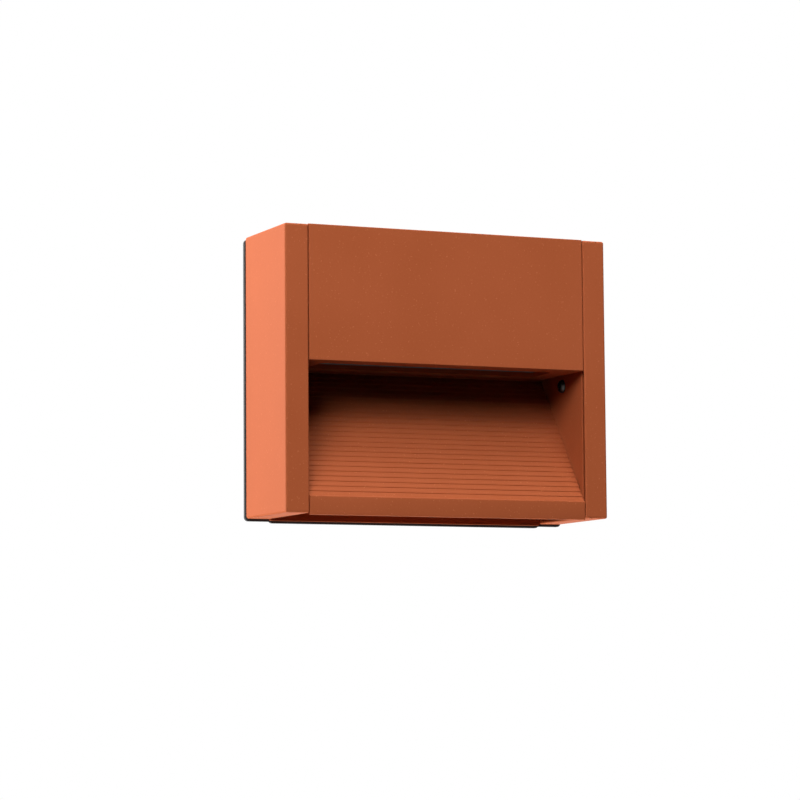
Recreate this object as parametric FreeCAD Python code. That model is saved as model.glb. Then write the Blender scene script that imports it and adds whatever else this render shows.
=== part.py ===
import FreeCAD, Part
import math
import os

os.makedirs("parts", exist_ok=True)

Vec = FreeCAD.Vector

# Outdoor wall light with a hooded, ribbed reflector between two end frames.
# X runs left to right, Y runs back to the wall, Z is up. All lengths are millimetres.
# The origin is on the wall plane, in the middle of the four wall screws.

# Overall sizes
body_length = 169.9
frame_width = 13.9
frame_height = 160.3
frame_depth = 60.5
foam_thickness = 2.0
seam_gap = 0.45
body_end_round = 0.5
cut_overrun = 1.0
thread_clearance = 0.05

# Visor housing, an extruded box that runs between the end frames
visor_height = 76.0
visor_rise = 0.25
visor_wall = 3.0
visor_rear_wall = 2.5
visor_shelf = 2.5
visor_edge_radius = 0.5
mounting_space = 6.0
hook_rib_width = 1.3
hook_rib_drop = 2.2
hook_rib_setback = 0.3
drip_bead_height = 1.1
drip_bead_width = 2.4
drip_bead_gap = 0.45
drip_bead_radius = 0.5
port_size = 7.0
lens_rail_gap = 0.5
groove_lip_reach = 4.0
groove_lip_thickness = 1.5
groove_gap = 0.2
tray_groove_height = 25.5

# Light window in the underside of the visor
window_end_margin = 12.95
window_setback = 13.0
window_rear_setback = 15.5
window_corner_radius = 4.0

# Ribbed reflector, an extruded slope with a front lip
slope_foot_drop = 1.6
slope_plate = 2.2
lip_drop = 0.85
lip_height = 10.7
lip_thickness = 2.2
lip_edge_radius = 0.8
lip_lower_radius = 0.4
rib_pitch = 3.65
rib_groove = 1.85
rib_depth = 0.45
rib_flank = 0.12
rib_lower_land = 7.1
rib_upper_land = 2.6
flange_rise = 12.0
flange_thickness = 1.8
reflector_gap = 0.1
reflector_port_low = 10.0
reflector_port_top_setback = 19.9
reflector_port_radius = 3.6
reflector_port_sink = 1.0

# Side plates, which close the ends of the body and show as the cheeks of the recess
side_plate_thickness = 1.0
end_gasket_thickness = 0.7
gasket_front_inset = 0.3
gasket_edge_inset = 0.9
plate_visor_setback = 1.4
plate_recess_setback = 3.8
plate_top_cover = 1.5
plate_bottom_setback = 1.8
plate_rear_setback = 4.0
plate_corner_radius = 1.5
plate_edge_round = 0.35
plate_step_cover = 0.5
plate_pocket_gap = 0.3

# End frames, hollow castings
frame_outer_wall = 3.0
frame_land = 3.0
frame_edge_radius = 1.2
frame_rear_corner_radius = 1.5
frame_seam_radius = 0.8
frame_relief_start = 0.4
frame_relief_gap = 0.4
frame_relief_depth = 1.4
frame_web = 2.5
boss_radius = 5.0
boss_hole_depth = 8.0
head_pocket_gap = 0.4

# Screws: M4 round heads with a hex socket, and M4 and M3 pan heads
m4_radius = 2.0
m4_clearance_radius = 2.25
m4_head_radius = 3.8
m4_head_height = 2.2
m4_head_rim = 0.5
m4_head_crown_radius = 2.4
m4_head_bulge = 0.25
m4_socket_across = 2.5
m4_socket_depth = 1.3
m3_radius = 1.5
m3_clearance_radius = 1.7
m3_head_radius = 2.8
m3_head_height = 1.8
pan_head_chamfer = 0.5
plate_screw_length = 14.0
cheek_screw_length = 8.5
cheek_screw_setback = 28.1
cheek_screw_drop = 6.2
frame_screw_setback = 24.5
frame_screw_height = 10.0
lock_screw_length = 10.0

# Back plate, which stays on the wall and carries the light
back_plate_thickness = 2.0
back_plate_drop = 0.9
back_plate_edge_gap = 0.3
back_plate_corner_radius = 1.0
wall_slot_spacing_x = 120.0
wall_slot_spacing_z = 60.0
wall_slot_radius = 2.75
wall_slot_length = 12.0
hook_end_setback = 30.35
hook_width = 24.0
hook_thickness = 1.5
hook_gap = 0.5
ear_length = 14.0
ear_height = 16.0
ear_hole_setback = 7.0
ear_centre_height = 14.0
ear_corner_radius = 3.0

# Foam gasket against the wall
foam_band = 8.0
foam_stand_out = 0.5
foam_top_setback = 1.0
foam_bottom_drop = 1.4
foam_plate_drop = 1.4
foam_corner_radius = 2.4

# Cable entry
cable_drop = 24.4
cable_radius = 3.6
grommet_neck_radius = 10.0
grommet_flange_radius = 12.0
grommet_flange_outside = 1.2
grommet_flange_inside = 2.0
grommet_nose_length = 7.0
grommet_nose_radius = 5.6
plate_cable_hole_radius = 14.0

# Lens and its gasket
lens_thickness = 3.0
lens_gasket_thickness = 0.8
lens_edge_cover = 5.0
lens_end_cover = 4.0
lens_corner_radius = 4.0

# LED carrier, board and chips
carrier_foot_thickness = 2.5
carrier_leg_thickness = 2.5
carrier_web_thickness = 3.0
carrier_web_height = 18.0
carrier_press_rib = 2.0
carrier_press_gap = 0.2
carrier_end_setback = 11.0
board_edge_gap = 3.0
board_thickness = 1.6
board_end_setback = 2.0
board_screw_inset = 12.95
chip_width = 3.0
chip_length = 3.5
chip_height = 0.8
chip_end_margin = 10.0
chip_pitch = 8.0

# Gear tray, a sheet that slides in from the end with the driver and the terminal block
tray_thickness = 1.5
tray_left_setback = 9.5
tray_right_setback = 1.5
tray_screw_overhang = 1.0

# LED driver and its fixing ears
driver_left_gap = 1.45
driver_terminal_gap = 9.75
driver_front_gap = 4.5
driver_rear_gap = 10.5
driver_thickness = 21.0
driver_corner_radius = 2.5
driver_ear_length = 7.0
driver_ear_thickness = 3.0
driver_screw_inset = 4.0

# Terminal block
terminal_pitch = 9.5
terminal_poles = 3
terminal_height = 16.0
terminal_depth = 20.0
terminal_right_gap = 7.2
terminal_rear_setback = 15.5
terminal_end_tab = 6.0
terminal_tab_width = 8.0
terminal_tab_thickness = 3.0
terminal_wire_radius = 1.6
terminal_wire_depth = 6.0
terminal_wire_level = 6.0
terminal_screw_radius = 1.7
terminal_screw_height = 1.5
terminal_screw_slot = 0.6
terminal_screw_slot_depth = 0.8
terminal_well_radius = 2.2
terminal_well_depth = 3.0
terminal_screw_setback = 5.0

# Earth lug and the leads
earth_setback = 8.2
lug_thickness = 0.8
lug_radius = 4.0
lug_barrel_radius = 1.6
lug_barrel_length = 4.5
lead_radius = 0.9
lead_gap = 2.6
lead_first_run = 6.0
lead_short_run = 3.0
lead_end_gap = 5.0
lead_bend_share = 0.45

# Places worked out from the sizes above
half_body = body_length / 2
front_y = -(foam_thickness + frame_depth)
rear_y = -foam_thickness
frame_top = frame_height / 2
frame_bottom = -frame_height / 2
frame_inner_x = half_body + seam_gap
half_width = frame_inner_x + frame_width
cheek_x = half_body + end_gasket_thickness
plate_outer_x = cheek_x + side_plate_thickness
visor_top = frame_top + visor_rise
visor_bottom = visor_top - visor_height
visor_rear_y = rear_y - mounting_space
visor_inner_front = front_y + visor_wall
visor_inner_rear = visor_rear_y - visor_rear_wall
visor_inner_top = visor_top - visor_wall
shelf_top = visor_bottom + visor_shelf
lip_bottom = frame_bottom - lip_drop
lip_top = lip_bottom + lip_height
slope_top_y = visor_rear_y + reflector_gap
slope_foot_z = lip_top - slope_foot_drop
slope_length = math.hypot(slope_top_y - front_y, visor_bottom - slope_foot_z)
slope_sine = (visor_bottom - slope_foot_z) / slope_length
slope_cosine = (slope_top_y - front_y) / slope_length
slope_rise = slope_sine / slope_cosine
reflector_port_high = slope_length - reflector_port_top_setback
window_length = body_length - window_end_margin * 2
window_front = front_y + window_setback
window_rear = visor_rear_y - window_rear_setback
lens_bottom = shelf_top + lens_gasket_thickness
lens_top = lens_bottom + lens_thickness
rail_top = shelf_top + port_size
front_rail_end = window_front - lens_edge_cover / 2 - lens_rail_gap
rear_rail_start = window_rear + lens_edge_cover / 2 + lens_rail_gap
carrier_lip_bottom = rail_top + carrier_foot_thickness + groove_gap
tray_bottom = shelf_top + tray_groove_height
tray_top = tray_bottom + tray_thickness
cable_height = visor_top - cable_drop
tray_left = -half_body + tray_left_setback
tray_right = half_body - tray_right_setback
terminal_y = visor_inner_rear - terminal_rear_setback
terminal_half = terminal_poles * terminal_pitch / 2
terminal_reach = terminal_half + terminal_end_tab
terminal_offset = tray_right - terminal_right_gap - terminal_reach
driver_left = tray_left + driver_left_gap + driver_ear_length
driver_right = terminal_offset - terminal_reach - driver_terminal_gap - driver_ear_length
driver_length = driver_right - driver_left
driver_offset = (driver_left + driver_right) / 2
driver_width = visor_inner_rear - visor_inner_front - driver_front_gap - driver_rear_gap
driver_y = visor_inner_front + driver_front_gap + driver_width / 2
driver_screw_spacing = driver_width - driver_screw_inset * 2
carrier_web_bottom = shelf_top + carrier_web_height
carrier_web_top = carrier_web_bottom + carrier_web_thickness
board_bottom = carrier_web_bottom - board_thickness
window_middle_y = (window_front + window_rear) / 2
board_half = half_body - carrier_end_setback - board_end_setback
board_width = window_rear - window_front - board_edge_gap * 2
chip_count = int((board_half - chip_end_margin) * 2 / chip_pitch) + 1
back_plate_front = rear_y - back_plate_thickness
back_plate_bottom = frame_bottom - back_plate_drop
back_plate_top = visor_inner_top - hook_rib_drop - hook_rib_setback
back_plate_half = cheek_x - back_plate_edge_gap
foam_top = frame_top - foam_top_setback
foam_bottom = frame_bottom - foam_bottom_drop
foam_lowest = back_plate_bottom - foam_plate_drop
hook_rib_rear = back_plate_front - hook_rib_setback
ear_centre_z = frame_bottom + ear_centre_height
ear_hole_y = back_plate_front - ear_hole_setback
cheek_screw_y = front_y + cheek_screw_setback
cheek_screw_z = visor_bottom - cheek_screw_drop
frame_screw_y = front_y + frame_screw_setback
frame_screw_z = frame_bottom + frame_screw_height
port_places = [
    (visor_inner_front + port_size / 2, visor_inner_top - port_size / 2),
    (visor_inner_rear - port_size / 2, visor_inner_top - port_size / 2),
    (visor_inner_front + port_size / 2, shelf_top + port_size / 2),
    (visor_inner_rear - port_size / 2, shelf_top + port_size / 2),
]


def corner(before, here, after, radius):
    """The start, middle and end of the arc that rounds one corner of an outline."""
    back = (before - here).normalize()
    ahead = (after - here).normalize()
    half_turn = back.getAngle(ahead) / 2
    setback = radius / math.tan(half_turn)
    bisector = (back + ahead).normalize()
    middle = here + bisector * (radius / math.sin(half_turn) - radius)
    return here + back * setback, middle, here + ahead * setback


def outline(points):
    """A closed wire in the YZ plane. A point's third value rounds its corner."""
    places = [Vec(0, point[0], point[1]) for point in points]
    radii = [point[2] if len(point) > 2 else 0 for point in points]
    corners = []
    for i, here in enumerate(places):
        if radii[i]:
            after = places[(i + 1) % len(places)]
            corners.append(corner(places[i - 1], here, after, radii[i]))
        else:
            corners.append((here, here, here))
    edges = []
    for i, (start, middle, end) in enumerate(corners):
        edges.append(Part.makeLine(corners[i - 1][2], start))
        if radii[i]:
            edges.append(Part.Arc(start, middle, end).toShape())
    return Part.Wire(edges)


def prism(points, x_from, x_to):
    """An outline in the YZ plane, extruded along X."""
    solid = Part.Face(outline(points)).extrude(Vec(x_to - x_from, 0, 0))
    solid.translate(Vec(x_from, 0, 0))
    return solid


def block(x_from, x_to, y_from, y_to, z_from, z_to):
    """A rectangular block between two corners."""
    size = (x_to - x_from, y_to - y_from, z_to - z_from)
    return Part.makeBox(*size, Vec(x_from, y_from, z_from))


def rod(radius, start, along):
    """A round bar or the tool for a round hole."""
    return Part.makeCylinder(radius, along.Length, start, along)


def rounded_block(x_from, x_to, y_from, y_to, z_from, z_to, radius, axis):
    """A block whose four edges along one axis are rounded."""
    solid = block(x_from, x_to, y_from, y_to, z_from, z_to)
    edges = []
    for edge in solid.Edges:
        if edge.tangentAt(edge.FirstParameter).cross(axis).Length < thread_clearance:
            edges.append(edge)
    return solid.makeFillet(radius, edges)


def mirrored(shape):
    """The same piece for the other end of the light."""
    return shape.mirror(Vec(0, 0, 0), Vec(1, 0, 0))


def hexagon_prism(across, depth):
    """A hexagonal bar along Z, from depth below the origin up to it."""
    reach = across / math.sqrt(3)
    turns = [math.pi / 3 * i for i in range(7)]
    points = [Vec(reach * math.cos(turn), reach * math.sin(turn), -depth) for turn in turns]
    return Part.Face(Part.makePolygon(points)).extrude(Vec(0, 0, depth))


def socket_screw(seat, along, length):
    """An M4 screw with a domed head and a hex socket. The head stands on seat."""
    low = Vec(m4_head_radius, 0, m4_head_rim)
    high = Vec(m4_head_crown_radius, 0, m4_head_height)
    outward = Vec(high.z - low.z, 0, low.x - high.x).normalize()
    dome = Part.Arc(low, (low + high) / 2 + outward * m4_head_bulge, high).toShape()
    path = [high, Vec(0, 0, m4_head_height), Vec(0, 0, -length), Vec(m4_radius, 0, -length)]
    path += [Vec(m4_radius, 0, 0), Vec(m4_head_radius, 0, 0), low]
    edges = [Part.makeLine(a, b) for a, b in zip(path, path[1:])]
    solid = Part.Face(Part.Wire([dome] + edges)).revolve(Vec(0, 0, 0), Vec(0, 0, 1), 360)
    socket = hexagon_prism(m4_socket_across, m4_socket_depth + cut_overrun)
    socket.translate(Vec(0, 0, m4_head_height + cut_overrun))
    solid = solid.cut(socket)
    solid.Placement = FreeCAD.Placement(seat, FreeCAD.Rotation(Vec(0, 0, 1), along.negative()))
    return solid


def pan_screw(seat, along, length, radius, head_radius, head_height):
    """A screw with a chamfered pan head, for places inside the light."""
    shoulder = head_height - pan_head_chamfer
    path = [
        (0, -length), (radius, -length), (radius, 0), (head_radius, 0), (head_radius, shoulder),
        (head_radius - pan_head_chamfer, head_height), (0, head_height), (0, -length),
    ]
    wire = Part.makePolygon([Vec(out, 0, up) for out, up in path])
    solid = Part.Face(wire).revolve(Vec(0, 0, 0), Vec(0, 0, 1), 360)
    solid.Placement = FreeCAD.Placement(seat, FreeCAD.Rotation(Vec(0, 0, 1), along.negative()))
    return solid


def m3_screw(seat, along, length):
    """An M3 pan head screw."""
    return pan_screw(seat, along, length, m3_radius, m3_head_radius, m3_head_height)


def slope_point(along, out):
    """A place on the slope: its distance up from the foot, and out from the rib tips."""
    y = front_y + along * slope_cosine - out * slope_sine
    z = slope_foot_z + along * slope_sine + out * slope_cosine
    return y, z


def reflector_ports():
    """The two screw ports on the back of the slope."""
    back = -(slope_plate + reflector_port_radius - reflector_port_sink)
    return [slope_point(reflector_port_low, back), slope_point(reflector_port_high, back)]


def plate_outline(offset):
    """The side plate's outline, grown by an offset for the pocket that holds it."""
    front_high = front_y + plate_visor_setback - offset
    front_low = front_y + plate_recess_setback - offset
    step = visor_bottom + plate_step_cover - offset
    top = visor_top - plate_top_cover + offset
    bottom = frame_bottom + plate_bottom_setback - offset
    rear = rear_y - plate_rear_setback + offset
    return [
        (front_low, bottom, plate_corner_radius),
        (front_low, step),
        (front_high, step),
        (front_high, top, plate_corner_radius),
        (rear, top, plate_corner_radius),
        (rear, bottom, plate_corner_radius),
    ]


def frame_pocket():
    """The hollow of an end frame, inside the land that the side plate seats on."""
    inner = frame_land - plate_pocket_gap
    pocket_outer = half_width - frame_outer_wall
    hollow = prism(plate_outline(-inner), plate_outer_x - cut_overrun, pocket_outer)
    web = block(
        plate_outer_x, pocket_outer, front_y, rear_y,
        visor_bottom - frame_web / 2, visor_bottom + frame_web / 2,
    )
    hollow = hollow.cut(web)
    along = Vec(pocket_outer - plate_outer_x, 0, 0)
    for y, z in frame_boss_places():
        hollow = hollow.cut(rod(boss_radius, Vec(plate_outer_x, y, z), along))
    return hollow


def frame_relief():
    """The tool for the bevel and the narrow slot beside the side plate's front edge."""
    inside = frame_inner_x - cut_overrun
    wall = plate_outer_x + frame_relief_gap
    start = front_y + frame_relief_start
    plate_front = front_y + plate_recess_setback
    points = [
        (inside, start), (frame_inner_x, start), (wall, plate_front),
        (wall, plate_front + frame_relief_depth), (inside, plate_front + frame_relief_depth), (inside, start),
    ]
    wire = Part.makePolygon([Vec(x, y, lip_top) for x, y in points])
    return Part.Face(wire).extrude(Vec(0, 0, visor_bottom + plate_step_cover - lip_top))


def end_round(z_from, z_to):
    """The tool that rounds the front corner at the right end of an extrusion."""
    centre_x = half_body - body_end_round
    centre_y = front_y + body_end_round
    tool = block(centre_x, half_body + cut_overrun, front_y - cut_overrun, centre_y, z_from, z_to)
    return tool.cut(rod(body_end_round, Vec(centre_x, centre_y, z_from), Vec(0, 0, z_to - z_from)))


def frame_boss_places():
    """Where the screws from inside the body enter an end frame."""
    return [
        (cheek_screw_y, cheek_screw_z),
        (frame_screw_y, frame_screw_z),
        (ear_hole_y, ear_centre_z),
    ]


def edges_near(shape, test):
    """The edges whose middle passes a test."""
    found = []
    for edge in shape.Edges:
        middle = edge.valueAt((edge.FirstParameter + edge.LastParameter) / 2)
        if test(middle, edge):
            found.append(edge)
    return found


def end_frame():
    """The right end frame: a hollow casting with soft edges and screw bosses."""
    shell = prism(
        [
            (front_y, frame_bottom, frame_edge_radius),
            (front_y, frame_top, frame_edge_radius),
            (rear_y, frame_top, frame_rear_corner_radius),
            (rear_y, frame_bottom, frame_rear_corner_radius),
        ],
        frame_inner_x,
        half_width,
    )
    outer = edges_near(shell, lambda middle, edge: abs(middle.x - half_width) < cut_overrun)
    shell = shell.makeFillet(frame_edge_radius, outer)
    seam = edges_near(
        shell,
        lambda middle, edge: abs(middle.x - frame_inner_x) < thread_clearance
        and middle.y < rear_y - frame_rear_corner_radius,
    )
    shell = shell.makeFillet(frame_seam_radius, seam)
    shell = shell.cut(prism(plate_outline(plate_pocket_gap), frame_inner_x - cut_overrun, plate_outer_x))
    shell = shell.cut(frame_pocket())
    shell = shell.cut(frame_relief())
    pocket_radius = m4_head_radius + head_pocket_gap
    pocket_depth = m4_head_height + head_pocket_gap
    for y, z in port_places + reflector_ports():
        start = Vec(plate_outer_x, y, z)
        shell = shell.cut(rod(pocket_radius, start, Vec(pocket_depth, 0, 0)))
    hole_radius = m4_radius + thread_clearance
    for y, z in frame_boss_places():
        start = Vec(plate_outer_x - cut_overrun, y, z)
        shell = shell.cut(rod(hole_radius, start, Vec(boss_hole_depth + cut_overrun, 0, 0)))
    return shell


def side_plate():
    """The right side plate: sheet that closes the body's end and shows as a cheek."""
    plate = prism(plate_outline(0), cheek_x, plate_outer_x)
    front_edges = edges_near(
        plate,
        lambda middle, edge: abs(middle.y - front_y - plate_recess_setback) < thread_clearance
        and edge.Length > side_plate_thickness * 2,
    )
    plate = plate.makeFillet(plate_edge_round, front_edges)
    for y, z in port_places + reflector_ports() + frame_boss_places():
        start = Vec(cheek_x - cut_overrun, y, z)
        along = Vec(side_plate_thickness + cut_overrun * 2, 0, 0)
        plate = plate.cut(rod(m4_clearance_radius, start, along))
    return plate


def visor_cavity(x_half):
    """The hollow of the visor, between its screw ports, rails and groove lips."""
    hollow = block(-x_half, x_half, visor_inner_front, visor_inner_rear, shelf_top, visor_inner_top)
    for y_from, y_to, z_from, z_to in visor_rails():
        hollow = hollow.cut(block(-x_half, x_half, y_from, y_to, z_from, z_to))
    return hollow


def end_gasket():
    """The right end gasket: a flat silicone frame between the visor's end and the side plate."""
    gasket = block(
        half_body, cheek_x,
        front_y + plate_visor_setback + gasket_front_inset, visor_rear_y - gasket_edge_inset,
        visor_bottom + gasket_edge_inset, visor_inner_top + gasket_edge_inset,
    )
    opening = block(
        half_body - cut_overrun, cheek_x + cut_overrun,
        visor_inner_front, visor_inner_rear, shelf_top, visor_inner_top,
    )
    gasket = gasket.cut(opening)
    reach = port_size / 2
    for y, z in port_places:
        gasket = gasket.fuse(block(half_body, cheek_x, y - reach, y + reach, z - reach, z + reach))
    for y, z in port_places:
        start = Vec(half_body - cut_overrun, y, z)
        along = Vec(end_gasket_thickness + cut_overrun * 2, 0, 0)
        gasket = gasket.cut(rod(m4_clearance_radius, start, along))
    return gasket.removeSplitter()


def side_plate_screws():
    """Screws that hold the side plates to the screw ports of the extrusions."""
    screws = []
    for y, z in port_places + reflector_ports():
        seat = Vec(plate_outer_x, y, z)
        along = Vec(-1, 0, 0)
        screw = pan_screw(seat, along, plate_screw_length, m4_radius, m4_head_radius, m4_head_height)
        screws += [screw, mirrored(screw)]
    return Part.makeCompound(screws)


def inner_screws(y, z, seat_x, length):
    """A pair of screws from inside the body, out through both side plates."""
    screw = socket_screw(Vec(seat_x, y, z), Vec(1, 0, 0), length)
    return Part.makeCompound([screw, mirrored(screw)])


def visor_profile():
    """The visor housing's outer outline, with its rear overhang, hook rib and drip bead."""
    rib_front = hook_rib_rear - hook_rib_width
    rib_bottom = visor_inner_top - hook_rib_drop
    bead_bottom = visor_bottom - drip_bead_height
    bead_rear = visor_rear_y - drip_bead_height / slope_rise - drip_bead_gap
    bead_front = bead_rear - drip_bead_width
    return [
        (front_y, visor_bottom, visor_edge_radius),
        (front_y, visor_top, visor_edge_radius),
        (rear_y, visor_top),
        (rear_y, visor_inner_top),
        (hook_rib_rear, visor_inner_top),
        (hook_rib_rear, rib_bottom),
        (rib_front, rib_bottom),
        (rib_front, visor_inner_top),
        (visor_rear_y, visor_inner_top),
        (visor_rear_y, visor_bottom),
        (bead_rear, visor_bottom),
        (bead_rear, bead_bottom, drip_bead_radius),
        (bead_front, bead_bottom, drip_bead_radius),
        (bead_front, visor_bottom),
    ]


def visor_rails():
    """Corner blocks with the screw ports, and the lips of the carrier's and the tray's grooves."""
    upper_port = visor_inner_top - port_size
    rails = [
        (visor_inner_front, front_rail_end, shelf_top, rail_top),
        (rear_rail_start, visor_inner_rear, shelf_top, rail_top),
        (visor_inner_front, visor_inner_front + port_size, upper_port, visor_inner_top),
        (visor_inner_rear - port_size, visor_inner_rear, upper_port, visor_inner_top),
    ]
    lip_levels = [carrier_lip_bottom, tray_bottom - groove_lip_thickness, tray_top + groove_gap]
    for level in lip_levels:
        top = level + groove_lip_thickness
        rails.append((visor_inner_front, visor_inner_front + groove_lip_reach, level, top))
        rails.append((visor_inner_rear - groove_lip_reach, visor_inner_rear, level, top))
    return rails


def visor_housing():
    """Extruded aluminium box: hood in front, light window below, cable entry behind."""
    body = prism(visor_profile(), -half_body, half_body)
    body = body.cut(visor_cavity(half_body + cut_overrun))
    for y, z in port_places:
        start = Vec(-half_body - cut_overrun, y, z)
        along = Vec(body_length + cut_overrun * 2, 0, 0)
        body = body.cut(rod(m4_radius + thread_clearance, start, along))
    window = rounded_block(
        -window_length / 2, window_length / 2, window_front, window_rear,
        visor_bottom - cut_overrun, shelf_top + cut_overrun, window_corner_radius, Vec(0, 0, 1),
    )
    body = body.cut(window)
    rounding = end_round(visor_bottom - cut_overrun, visor_top + cut_overrun)
    body = body.cut(rounding).cut(mirrored(rounding))
    entry_start = Vec(0, visor_inner_rear - cut_overrun, cable_height)
    return body.cut(rod(grommet_neck_radius, entry_start, Vec(0, visor_rear_wall + cut_overrun * 2, 0)))


def reflector_profile():
    """The reflector's outline: lip, rounded top edge, land, ribs, and a flange behind the visor."""
    top_land = slope_length - rib_upper_land
    lip_meets_slope = (lip_top - slope_foot_z) / slope_sine
    points = [
        (front_y, lip_bottom, lip_lower_radius),
        (front_y, lip_top, lip_edge_radius),
        slope_point(lip_meets_slope, 0),
    ]
    along = rib_lower_land
    while along + rib_groove < top_land:
        points.append(slope_point(along, 0))
        points.append(slope_point(along + rib_flank, -rib_depth))
        points.append(slope_point(along + rib_groove - rib_flank, -rib_depth))
        points.append(slope_point(along + rib_groove, 0))
        along += rib_pitch
    flange_rear = slope_top_y + flange_thickness
    back_drop = slope_plate / slope_cosine
    flange_foot = visor_bottom + (flange_rear - slope_top_y) * slope_rise - back_drop
    lip_rear = front_y + lip_thickness
    back_foot = slope_foot_z + lip_thickness * slope_rise - back_drop
    points += [
        (slope_top_y, visor_bottom),
        (slope_top_y, visor_bottom + flange_rise),
        (flange_rear, visor_bottom + flange_rise),
        (flange_rear, flange_foot),
        (lip_rear, back_foot, lip_thickness),
        (lip_rear, lip_bottom),
    ]
    return points


def ribbed_reflector():
    """Extruded aluminium slope that throws the light down and out, with its front lip."""
    body = prism(reflector_profile(), -half_body, half_body)
    for y, z in reflector_ports():
        start = Vec(-half_body, y, z)
        body = body.fuse(rod(reflector_port_radius, start, Vec(body_length, 0, 0)))
    for y, z in reflector_ports():
        start = Vec(-half_body - cut_overrun, y, z)
        body = body.cut(rod(m4_radius + thread_clearance, start, Vec(body_length + cut_overrun * 2, 0, 0)))
    rounding = end_round(lip_bottom - cut_overrun, lip_top + cut_overrun)
    return body.cut(rounding).cut(mirrored(rounding))


def rounded_plate(x_half, z_from, z_to, y_from, y_to, radius):
    """A flat plate that faces the wall, with rounded corners."""
    return rounded_block(-x_half, x_half, y_from, y_to, z_from, z_to, radius, Vec(0, 1, 0))


def slot_tool(x, z):
    """The tool for one slotted hole: two round ends joined by a straight cut along X."""
    reach = wall_slot_length / 2 - wall_slot_radius
    start_y = back_plate_front - cut_overrun
    along = Vec(0, back_plate_thickness + cut_overrun * 2, 0)
    tool = block(
        x - reach, x + reach, start_y, start_y + along.y, z - wall_slot_radius, z + wall_slot_radius,
    )
    for side in (-1, 1):
        tool = tool.fuse(rod(wall_slot_radius, Vec(x + side * reach, start_y, z), along))
    return tool


def back_plate_hook(x):
    """One hook, bent forward and up from the back plate's top edge."""
    leg_front = visor_rear_y + hook_gap
    floor = back_plate_top - hook_thickness
    half = hook_width / 2
    base = block(x - half, x + half, leg_front, back_plate_front + cut_overrun, floor, back_plate_top)
    leg_top = visor_inner_top - hook_rib_setback
    leg = block(x - half, x + half, leg_front, leg_front + hook_thickness, floor, leg_top)
    return base.fuse(leg)


def back_plate_ear():
    """The right ear, bent forward from the back plate's side edge."""
    inner_x = back_plate_half - back_plate_thickness
    front = back_plate_front - ear_length
    ear = rounded_block(
        inner_x, back_plate_half, front, rear_y,
        ear_centre_z - ear_height / 2, ear_centre_z + ear_height / 2, ear_corner_radius, Vec(1, 0, 0),
    )
    hole_start = Vec(inner_x - cut_overrun, ear_hole_y, ear_centre_z)
    ear = ear.cut(rod(m4_clearance_radius, hole_start, Vec(back_plate_thickness + cut_overrun * 2, 0, 0)))
    keep = block(inner_x, back_plate_half, front, back_plate_front + cut_overrun,
                 ear_centre_z - ear_height, ear_centre_z + ear_height)
    return ear.common(keep)


def back_plate():
    """Painted sheet that is screwed to the wall, with two hooks above and two ears below."""
    plate = rounded_plate(
        back_plate_half, back_plate_bottom, back_plate_top,
        back_plate_front, rear_y, back_plate_corner_radius,
    )
    for side in (-1, 1):
        plate = plate.fuse(back_plate_hook(side * (back_plate_half - hook_end_setback)))
    ear = back_plate_ear()
    plate = plate.fuse(ear).fuse(mirrored(ear))
    for x in (-wall_slot_spacing_x / 2, wall_slot_spacing_x / 2):
        for z in (-wall_slot_spacing_z / 2, wall_slot_spacing_z / 2):
            plate = plate.cut(slot_tool(x, z))
    start = Vec(0, back_plate_front - cut_overrun, cable_height)
    along = Vec(0, back_plate_thickness + cut_overrun * 2, 0)
    plate = plate.cut(rod(plate_cable_hole_radius, start, along))
    return plate.removeSplitter()


def foam_slab(inset, y_from, y_to, radius):
    """A slab behind the frames and the back plate, drawn in all round by an inset."""
    frames = rounded_plate(
        half_width + foam_stand_out - inset, foam_bottom + inset, foam_top - inset, y_from, y_to, radius,
    )
    plate = rounded_plate(
        frame_inner_x - inset, foam_lowest + inset, foam_top - inset, y_from, y_to, radius,
    )
    return frames.fuse(plate).removeSplitter()


def wall_gasket():
    """Closed-cell foam ring that seals the light to the wall."""
    slab = foam_slab(0, rear_y, 0, foam_corner_radius)
    opening = foam_slab(foam_band, rear_y - cut_overrun, cut_overrun, foam_corner_radius)
    return slab.cut(opening)


def cable_grommet():
    """Rubber grommet in the visor's rear wall, with a nose round the cable."""
    flange_front = visor_inner_rear - grommet_flange_inside
    nose_tip = flange_front - grommet_nose_length
    flange_rear = visor_rear_y + grommet_flange_outside
    points = [
        (cable_radius, nose_tip), (grommet_nose_radius, nose_tip),
        (grommet_neck_radius, flange_front), (grommet_flange_radius, flange_front),
        (grommet_flange_radius, visor_inner_rear), (grommet_neck_radius, visor_inner_rear),
        (grommet_neck_radius, visor_rear_y), (grommet_flange_radius, visor_rear_y),
        (grommet_flange_radius, flange_rear), (cable_radius, flange_rear), (cable_radius, nose_tip),
    ]
    wire = Part.makePolygon([Vec(radius, y, cable_height) for radius, y in points])
    return Part.Face(wire).revolve(Vec(0, 0, cable_height), Vec(0, 1, 0), 360)


def lens():
    """Tempered glass over the light window, held from inside."""
    half = window_length / 2 + lens_end_cover
    return rounded_block(
        -half, half, window_front - lens_edge_cover / 2, window_rear + lens_edge_cover / 2,
        lens_bottom, lens_top, lens_corner_radius, Vec(0, 0, 1),
    )


def lens_gasket():
    """Silicone ring between the glass and the visor's shelf."""
    half = window_length / 2 + lens_end_cover
    cover = lens_edge_cover / 2
    ring = rounded_block(
        -half, half, window_front - cover, window_rear + cover,
        shelf_top, lens_bottom, lens_corner_radius, Vec(0, 0, 1),
    )
    opening = rounded_block(
        -window_length / 2, window_length / 2, window_front, window_rear,
        shelf_top - cut_overrun, lens_bottom + cut_overrun, window_corner_radius, Vec(0, 0, 1),
    )
    return ring.cut(opening)


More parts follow.
